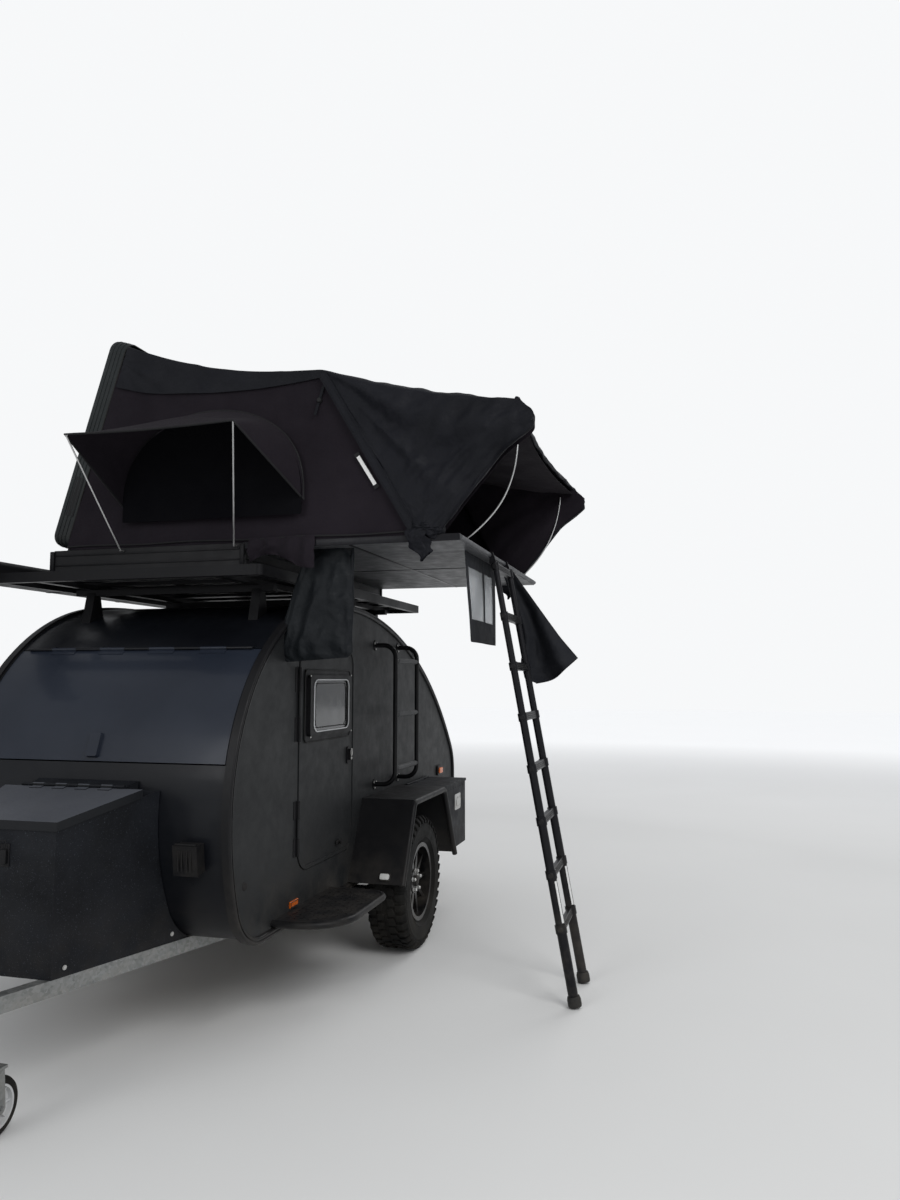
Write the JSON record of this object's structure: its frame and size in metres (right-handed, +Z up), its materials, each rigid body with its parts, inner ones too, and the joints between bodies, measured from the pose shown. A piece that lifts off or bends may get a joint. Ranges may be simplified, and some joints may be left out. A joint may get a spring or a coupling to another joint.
{
  "type": "teardrop trailer",
  "caption": "Small off-road teardrop camping trailer with a drawbar toolbox, side doors, a rear tailgate, a roof rack and an opened hard-shell roof tent with its ladder.",
  "frame": {"origin": "centre of the tow ball in the coupling's socket", "axes": "+X forward, towards the towing car; +Y to the trailer's left; +Z up"},
  "size_m": [4.8291, 2.9864, 3.2483],
  "materials": {
    "wall_panel": "satin",
    "skin_panel": "satin",
    "edge_trim": "matte",
    "floor_board": "matte",
    "galvanised": "satin",
    "black_steel": "satin",
    "rim": "satin",
    "tyre": "matte",
    "coated_box": "rough",
    "lid_grey": "satin",
    "window_frame": "gloss",
    "window_pane": "gloss",
    "latch": "matte",
    "reflector": "gloss",
    "lamp": "gloss",
    "ladder_alloy": "satin",
    "tent_shell": "satin",
    "tent_tray": "satin",
    "tent_floor": "satin",
    "tent_fabric": "matte",
    "spring_steel": "satin",
    "loose_cloth": "matte",
    "mattress": "matte",
    "jockey_rubber": "matte"
  },
  "bodies": {
    "root": {"awning_case": "black_steel", "awning_rods": "spring_steel", "axle": "black_steel", "chassis": "galvanised", "coupling": "galvanised", "door_hinges": "black_steel", "edge_trims": "edge_trim", "fenders": "black_steel", "floor": "floor_board", "front_skin": "skin_panel", "jockey_clamp": "galvanised", "loose_cloth": "loose_cloth", "mattress": "mattress", "rack_crossbars": "black_steel", "rack_slats": "black_steel", "rear_lamps": "lamp", "roof_rack": "black_steel", "roof_skin": "skin_panel", "side_boxes": "coated_box", "side_reflectors": "reflector", "side_walls": "wall_panel", "socket_box": "latch", "steps": "black_steel", "tail_skin": "skin_panel", "tent_canopy": "tent_fabric", "tent_floor": "tent_floor", "tent_ladder": "ladder_alloy", "tent_shell": "tent_shell", "tent_tray": "tent_tray", "toolbox": "coated_box", "wall_ladder": "black_steel", "window_awning": "tent_fabric"},
    "wheel_left": {"rim_left": "rim", "tyre_left": "tyre"},
    "wheel_right": {"rim_right": "rim", "tyre_right": "tyre"},
    "door_left": {"door_left": "wall_panel", "window_frame_left": "window_frame", "window_pane_left": "window_pane", "door_latch_left": "latch"},
    "door_right": {"door_right": "wall_panel", "window_frame_right": "window_frame", "window_pane_right": "window_pane", "door_latch_right": "latch"},
    "front_hatch": {"front_hatch": "skin_panel"},
    "tailgate": {"tailgate": "skin_panel"},
    "toolbox_lid": {"toolbox_lid": "lid_grey"},
    "box_lid_left": {"box_lid_left": "coated_box"},
    "box_lid_right": {"box_lid_right": "coated_box"},
    "jockey_stem": {"jockey_stem": "galvanised"},
    "jockey_fork": {"jockey_fork": "galvanised"},
    "jockey_wheel": {"jockey_wheel": "jockey_rubber"}
  },
  "joints": [
    {"name": "wheel_left_spin", "type": "hinge", "parent": "root", "child": "wheel_left", "pos_m": [-2.95, 0.872, -0.058], "axis": [0, 1, 0], "continuous": true},
    {"name": "wheel_right_spin", "type": "hinge", "parent": "root", "child": "wheel_right", "pos_m": [-2.95, -0.872, -0.058], "axis": [0, 1, 0], "continuous": true},
    {"name": "door_left_swing", "type": "hinge", "parent": "root", "child": "door_left", "pos_m": [-1.863, 0.685, 0.74], "axis": [0, 0, -1], "range_deg": [0, 100]},
    {"name": "door_right_swing", "type": "hinge", "parent": "root", "child": "door_right", "pos_m": [-1.863, -0.685, 0.74], "axis": [0, 0, 1], "range_deg": [0, 100]},
    {"name": "front_hatch_lift", "type": "hinge", "parent": "root", "child": "front_hatch", "pos_m": [-1.53451, 0, 1.25486], "axis": [0, -1, 0], "range_deg": [0, 75]},
    {"name": "tailgate_lift", "type": "hinge", "parent": "root", "child": "tailgate", "pos_m": [-3.8835, 0, 1.19352], "axis": [0, 1, 0], "range_deg": [0, 60]},
    {"name": "toolbox_lid_lift", "type": "hinge", "parent": "root", "child": "toolbox_lid", "pos_m": [-1.11604, 0, 0.66981], "axis": [0, -1, 0], "range_deg": [0, 85]},
    {"name": "box_lid_left_lift", "type": "hinge", "parent": "root", "child": "box_lid_left", "pos_m": [-3.8, 0.686, 0.419], "axis": [1, 0, 0], "range_deg": [0, 80]},
    {"name": "box_lid_right_lift", "type": "hinge", "parent": "root", "child": "box_lid_right", "pos_m": [-3.8, -0.686, 0.419], "axis": [-1, 0, 0], "range_deg": [0, 80]},
    {"name": "jockey_stem_slide", "type": "slide", "parent": "root", "child": "jockey_stem", "axis": [0, 0, 1], "range_m": [-0.1, 0.09]},
    {"name": "jockey_fork_swivel", "type": "hinge", "parent": "jockey_stem", "child": "jockey_fork", "pos_m": [-0.47, 0.18993, -0.195], "axis": [0, 0, 1], "continuous": true},
    {"name": "jockey_wheel_spin", "type": "hinge", "parent": "jockey_fork", "child": "jockey_wheel", "pos_m": [-0.515, 0.18993, -0.33], "axis": [0, 1, 0], "continuous": true}
  ]
}
